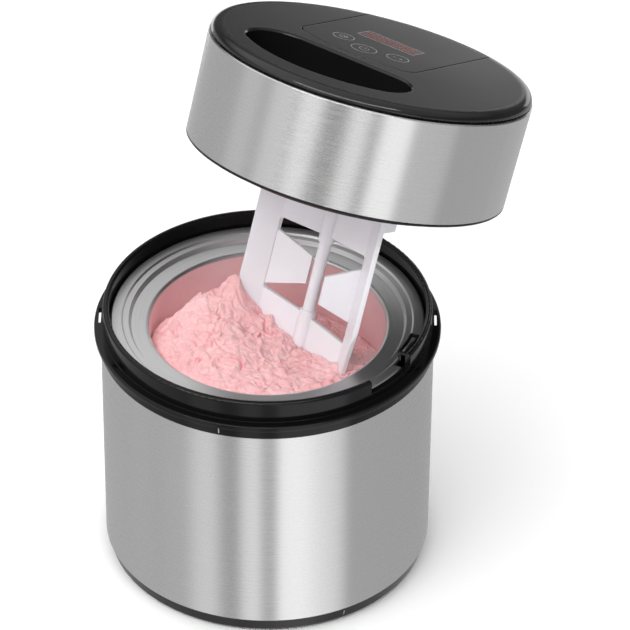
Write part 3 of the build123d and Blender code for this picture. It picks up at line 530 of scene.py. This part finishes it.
def display_border():
    b = bmesh.new()
    half_x, half_y = DISPLAY_SIZE[0] / 2 + 0.3, DISPLAY_SIZE[1] / 2 + 0.3
    cx, cy = DISPLAY_AT
    corners = [(cx + i * half_x, cy + j * half_y) for i, j in ((-1, -1), (1, -1), (1, 1), (-1, 1))]
    for i in range(4):
        add_bar(b, corners[i], corners[(i + 1) % 4], LINE)
    return mesh_piece("display_border", b, INK, "lid")


def touch_rings():
    b = bmesh.new()
    for centre, radius in TOUCH:
        add_ring(b, centre, radius, LINE)
    return mesh_piece("touch_rings", b, INK, "lid")


def touch_icons():
    """Generic icons: clock, power, plus and minus."""
    b = bmesh.new()
    left, middle, right = (t[0] for t in TOUCH)
    add_ring(b, left, 2.4, LINE, steps=24)
    add_bar(b, left, (left[0], left[1] + 1.6), LINE)
    add_bar(b, left, (left[0] + 1.2, left[1]), LINE)
    add_ring(b, middle, 3.0, LINE, 125.0, 415.0, steps=30)
    add_bar(b, (middle[0], middle[1] + 0.8), (middle[0], middle[1] + 4.0), LINE)
    add_bar(b, (right[0] - 3.4, right[1]), (right[0] - 0.8, right[1]), LINE)
    add_bar(b, (right[0] + 0.8, right[1]), (right[0] + 3.4, right[1]), LINE)
    add_bar(b, (right[0] + 2.1, right[1] - 1.3), (right[0] + 2.1, right[1] + 1.3), LINE)
    return mesh_piece("touch_icons", b, INK, "lid")


SEGMENTS = {
    "0": "abcdef",
    "1": "bc",
    "2": "abged",
    "3": "abgcd",
    "4": "fgbc",
    "5": "afgcd",
    "6": "afgedc",
    "7": "abc",
    "8": "abcdefg",
    "9": "abcdfg",
}


def display_digits(text="60:00"):
    b = bmesh.new()
    width, height, stroke = 4.6, 8.6, 1.1
    pitch = 7.6
    total = pitch * 4 + 3.0
    x = DISPLAY_AT[0] - total / 2 + (pitch - width) / 2
    low = DISPLAY_AT[1] - height / 2
    for letter in text:
        if letter == ":":
            for dy in (0.3, 0.7):
                cx, cy = x + 0.6, low + height * dy
                add_slab(b, [(cx + i * 0.6, cy + j * 0.6) for i, j in ((-1, -1), (1, -1), (1, 1), (-1, 1))])
            x += 3.0
            continue
        gap = 0.75
        mid = low + height / 2
        places = {
            "a": ((x + gap, low + height), (x + width - gap, low + height)),
            "d": ((x + gap, low), (x + width - gap, low)),
            "g": ((x + gap, mid), (x + width - gap, mid)),
            "f": ((x, mid + gap), (x, low + height - gap)),
            "b": ((x + width, mid + gap), (x + width, low + height - gap)),
            "e": ((x, low + gap), (x, mid - gap)),
            "c": ((x + width, low + gap), (x + width, mid - gap)),
        }
        for key in SEGMENTS[letter]:
            add_bar(b, *places[key], stroke)
        x += pitch
    return mesh_piece("display_digits", b, lit_segment(), "lid")


def edge_mark(name, azimuth, low, high):
    """Small printed line on the outside of the housing; low and high are (radius, height)."""
    out = Vector((math.cos(math.radians(azimuth)), math.sin(math.radians(azimuth)), 0.0))
    side = UP.cross(out)
    b = bmesh.new()
    layers = []
    for lift in (-0.02, 0.05):
        ends = []
        for radius, height in (low, high):
            middle = out * (radius + lift) + UP * height
            ends.append([b.verts.new((middle + side * s * 0.3) * MM) for s in (-1, 1)])
        layers.append([ends[0][0], ends[0][1], ends[1][1], ends[1][0]])
    b.faces.new(list(reversed(layers[0])))
    b.faces.new(layers[1])
    for i in range(4):
        j = (i + 1) % 4
        b.faces.new((layers[0][i], layers[0][j], layers[1][j], layers[1][i]))
    return mesh_piece(name, b, INK, "housing")


INK = printed_ink()
display_border()
touch_rings()
touch_icons()
display_digits()
edge_mark("skirt_mark", -105.7, (101.3, 151.6), (101.3, 155.0))
edge_mark("base_mark", -61.0, (97.35, 4.6), (98.15, 8.0))


# ---------------------------------------------------------------- ice cream in the bowl
WALL_LOW_R, WALL_TOP_R = 67.0, 70.9
WALL_LOW_Z, WALL_TOP_Z = 68.5, 158.5

# heights of the surface at places in the bowl (mm)
SURFACE = [
    (0, -70, 158.5), (24, -66, 158), (43, -56, 156), (58, -40, 153), (68, -20, 151), (70, 0, 138),
    (61, 35, 123), (35, 61, 124), (0, 70, 125), (-35, 61, 128), (-61, 35, 135), (-70, 0, 148),
    (-67, -22, 154), (-58, -40, 157), (-43, -56, 158), (-22, -66, 158.5), (-57, 8, 156),
    (-48, 13, 164), (-40, 16, 169.5), (-32, 17, 171), (-27, 18.5, 174), (-18, 18.5, 183),
    (-14, 16.5, 174), (-8, 12, 165), (2, 5, 160), (12, -2, 154), (20, -8, 151), (32, -24, 152.5),
    (44, -40, 153.5), (-25, 10, 173), (-23, 0, 168), (-10, -3, 161), (-20, -24, 166),
    (-20, -45, 162), (-45, -20, 162), (0, -30, 159), (8, -48, 158), (28, -44, 155.5),
    (-12, 30, 150), (-30, 34, 146), (-5, 28, 146), (8, 20, 142), (20, 12, 138), (34, 0, 139),
    (50, -14, 146), (20, 35, 131), (44, 22, 129), (-45, 32, 141),
]


def wall_radius(height):
    share = (height - WALL_LOW_Z) / (WALL_TOP_Z - WALL_LOW_Z)
    return WALL_LOW_R + (WALL_TOP_R - WALL_LOW_R) * min(max(share, 0.0), 1.0)


def surface_heights(points):
    """Smooth surface through SURFACE at plan points (thin plate spline)."""
    known = np.array(SURFACE, float)
    plan, level = known[:, :2], known[:, 2]

    def kernel(a, b):
        squared = ((a[:, None, :] - b[None, :, :]) ** 2).sum(2)
        return 0.5 * squared * np.log(squared + 1e-9)

    count = len(known)
    block = np.zeros((count + 3, count + 3))
    block[:count, :count] = kernel(plan, plan) + np.eye(count) * 2.0
    block[:count, count] = block[count, :count] = 1.0
    block[:count, count + 1:] = plan
    block[count + 1:, :count] = plan.T
    weights = np.linalg.solve(block, np.append(level, [0.0, 0.0, 0.0]))
    return kernel(points, plan) @ weights[:count] + weights[count] + points @ weights[count + 1:]


RELIEF_SEED = 5
noise.seed_set(RELIEF_SEED)  # noise_vector takes its offsets from the clock until it is seeded


def crumble(x, y):
    """Height detail of scooped, half-frozen ice cream (mm), and the share of painted crevice shade at the
    place: full in the cracks, some along the torn flake edges.
    """
    p = Vector((x, y, 0.0))
    bend = noise.noise_vector(p * 0.07) * 0.6
    q = Vector((x * 0.9 + y * 0.35, y * 1.1 - x * 0.25, 0.0)) * 0.062 + bend
    ridge = 1.0 - min(1.0, abs(noise.noise(q)) * 2.4)
    near, cells = noise.voronoi(q * 2.4)
    torn = min(1.0, (near[1] - near[0]) / 0.22)
    flake = noise.cell(cells[0] * 9.1) * torn
    crack = max(0.0, 1.0 - abs(noise.noise(q * 1.45 + Vector((4.2, 1.7, 0.6)))) / 0.055)
    crack *= min(1.0, max(0.0, noise.noise(p * 0.05 + Vector((1.5, 8.1, 2.2))) * 4.0 + 0.6))
    lumps = noise.noise(p * 0.21) + 0.5 * noise.noise(p * 0.43)
    grains = noise.fractal(p * 0.6, 0.9, 2.1, 4)
    rise = 1.9 * ridge * ridge + 1.3 * flake + 1.0 * lumps + 0.5 * grains - 2.0 * crack - 0.9
    return rise, min(1.0, crack + 0.3 * (1.0 - torn))


def ice_cream():
    rings, spokes = 170, 480
    plan = []
    for i in range(1, rings + 1):
        share = (i / rings) ** 0.9
        for k in range(spokes):
            a = 2 * math.pi * k / spokes
            plan.append((share * math.cos(a), share * math.sin(a)))
    unit = np.array([(0.0, 0.0)] + plan)
    wall = WALL_TOP_R - 1.0
    level = surface_heights(unit * wall)
    b = bmesh.new()
    # per-point share of painted crevice shade, read by the ice cream material
    painted_crevice_shade = b.verts.layers.float.new("painted_crevice_shade")
    verts = []
    for (ux, uy), h in zip(unit, level):
        share = math.hypot(ux, uy)
        x, y = ux * wall, uy * wall
        # sunk is the share of painted crevice shade at this point
        detail, sunk = crumble(x, y)
        edge = max(0.0, (share - 0.93) / 0.07)
        h = h + detail * (1.0 - 0.5 * edge) - 2.2 * edge * edge
        h = min(h, WALL_TOP_Z + 1.0 + (1.0 - share) * 400.0)
        side = noise.noise_vector(Vector((x, y, h)) * 0.16) * 1.1 * (1.0 - edge)
        reach = wall_radius(h) - 0.25
        p = Vector((ux * reach + side.x, uy * reach + side.y, h))
        flat = math.hypot(p.x, p.y)
        if flat > reach:
            p.x, p.y = p.x * reach / flat, p.y * reach / flat
        verts.append(b.verts.new(p * MM))
        verts[-1][painted_crevice_shade] = sunk
    for k in range(spokes):
        b.faces.new((verts[0], verts[1 + k], verts[1 + (k + 1) % spokes]))
    for i in range(rings - 1):
        for k in range(spokes):
            j = (k + 1) % spokes
            low, high = 1 + i * spokes, 1 + (i + 1) * spokes
            b.faces.new((verts[low + k], verts[high + k], verts[high + j], verts[low + j]))
    outer = [verts[1 + (rings - 1) * spokes + k] for k in range(spokes)]
    below = []
    for z, inset in ((110.0, 0.25), (70.0, 0.3), (60.0, 4.0), (57.0, 10.5)):
        row = []
        for k in range(spokes):
            a = 2 * math.pi * k / spokes
            r = wall_radius(z) - inset
            row.append(b.verts.new(Vector((r * math.cos(a), r * math.sin(a), z)) * MM))
        below.append(row)
    for upper, lower in zip([outer] + below[:-1], below):
        for k in range(spokes):
            j = (k + 1) % spokes
            b.faces.new((upper[k], lower[k], lower[j], upper[j]))
    b.faces.new(list(reversed(below[-1])))
    for face in b.faces:
        face.smooth = True
    piece = mesh_piece("ice_cream", b, ice_cream_material(), "bowl")
    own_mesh(piece)


ice_cream()


# ---------------------------------------------------------------- floor and light
def pale_floor():
    b = bmesh.new()
    bmesh.ops.create_circle(b, cap_ends=True, segments=96, radius=6.0)
    made = bpy.data.meshes.new("floor")
    b.to_mesh(made)
    b.free()
    floor = bpy.data.objects.new("floor", made)
    bpy.context.scene.collection.objects.link(floor)
    floor.location.z = -0.0002
    floor.visible_glossy = False
    stuff, n = start_material("pale_floor", Roughness=0.9, Specular_IOR_Level=0.1)
    tone = n.noise(n.place(), 3.0, 2, 0.5)
    n.put(n.bsdf.inputs["Base Color"], n.tones(tone, (0.93, 0.93, 0.93), (0.95, 0.95, 0.95)))
    made.materials.append(stuff)


# soft panels and dark flags of the studio: middle and half width in degrees, brightness over the surround
SURROUND = 0.60
PANEL_EDGE = 6.0
ROUND_HOUSING = [
    (-134.0, 7.0, 0.34), (-116.0, 2.0, -0.12), (-101.0, 4.0, 0.52), (-57.0, 22.0, 0.82), (66.0, 20.0, 0.18),
]
ROUND_LID = [
    (-145.0, 6.0, 0.18), (-117.0, 5.0, 0.34), (-95.0, 4.0, 0.46),
    (-76.0, 4.0, -0.40), (-59.0, 3.0, 0.46), (-33.0, 8.0, 0.98),
]
SOFTBOX_HEIGHT = (0.70, 0.72, 0.77, 0.79)
SOFTBOX_TURN = (0.06, 0.08, 0.36, 0.38)
SOFTBOX = 10.0


def studio_world():
    world = bpy.data.worlds.new("studio")
    bpy.context.scene.world = world
    world.use_nodes = True
    n = Nodes(world.node_tree)
    n.tree.nodes.clear()
    way = n.new("ShaderNodeTexCoord").outputs["Generated"]
    x, y, z = n.separate(way)

    def share_of_turn(across, along):
        return n.math("ADD", n.math("DIVIDE", n.math("ARCTAN2", along, across), 2 * math.pi), 0.5)

    def between(value, edges, level=1.0):
        """The level inside the two middle edges, falling to nothing at the outer ones."""
        rise = n.map_range(value, edges[0], edges[1], 0.0, level)
        return n.math("MULTIPLY", rise, n.map_range(value, edges[2], edges[3], 1.0, 0.0))

    def panels(places, turn):
        level = SURROUND
        for middle, half, brightness in places:
            offsets = (-half - PANEL_EDGE, -half, half, half + PANEL_EDGE)
            edges = [(middle + offset + 180.0) / 360.0 for offset in offsets]
            level = n.math("ADD", between(turn, edges, brightness), level)
        return n.combine(level, level, level)

    turn = share_of_turn(x, y)
    lid_x, lid_y, lid_z = (n.vector("DOT_PRODUCT", way, tuple(axis)) for axis in (LID_X, LID_Y, LID_Z))
    lid_share = n.map_range(lid_z, -0.55, -0.38, 0.0, 1.0)
    near = n.mix(lid_share, panels(ROUND_HOUSING, turn), panels(ROUND_LID, share_of_turn(lid_x, lid_y)))
    near = n.mix(n.map_range(lid_z, 0.02, 0.16, 0.0, 1.0), near, (0.14, 0.14, 0.14, 1.0))
    side = n.map_range(x, -0.6, 0.6, 1.25, 0.55)
    above = n.combine(side, side, side)
    lift = n.map_range(z, 0.25, 0.6, 0.0, 1.0)
    around = n.mix(lift, near, above)
    # softbox high in front, seen as thin lines in the polished black edges
    box = n.math("MULTIPLY", between(z, SOFTBOX_HEIGHT), between(turn, SOFTBOX_TURN))
    around = n.mix(box, around, (SOFTBOX, SOFTBOX, SOFTBOX, 1.0))
    seen = n.new("ShaderNodeLightPath").outputs["Is Camera Ray"]
    shown = n.mix(seen, around, (0.97, 0.97, 0.97, 1.0))
    light = n.new("ShaderNodeBackground")
    n.put(light.inputs["Color"], shown)
    out = n.new("ShaderNodeOutputWorld")
    n.tree.links.new(light.outputs[0], out.inputs[0])


def area_light(name, at, towards, size, power, colour=(1, 1, 1), glossy=True):
    data = bpy.data.lights.new(name, "AREA")
    data.shape = "RECTANGLE"
    data.size, data.size_y = size
    data.energy = power
    data.color = colour
    lamp = bpy.data.objects.new(name, data)
    bpy.context.scene.collection.objects.link(lamp)
    lamp.location = at
    lamp.rotation_euler = (Vector(towards) - Vector(at)).to_track_quat("-Z", "Y").to_euler()
    lamp.visible_glossy = glossy
    return lamp


pale_floor()
studio_world()
area_light("key", (-0.9, -1.0, 1.5), (0.0, 0.0, 0.15), (1.2, 1.2), 5.5, glossy=False)
area_light("top", (0.1, 0.2, 1.7), (0.0, 0.0, 0.1), (1.6, 1.6), 7.0, glossy=False)
panel = area_light("back_panel", (0.08, 0.36, 0.235), (0.08, 0.0, 0.26), (0.6, 0.08), 0.16)
panel.visible_camera = False
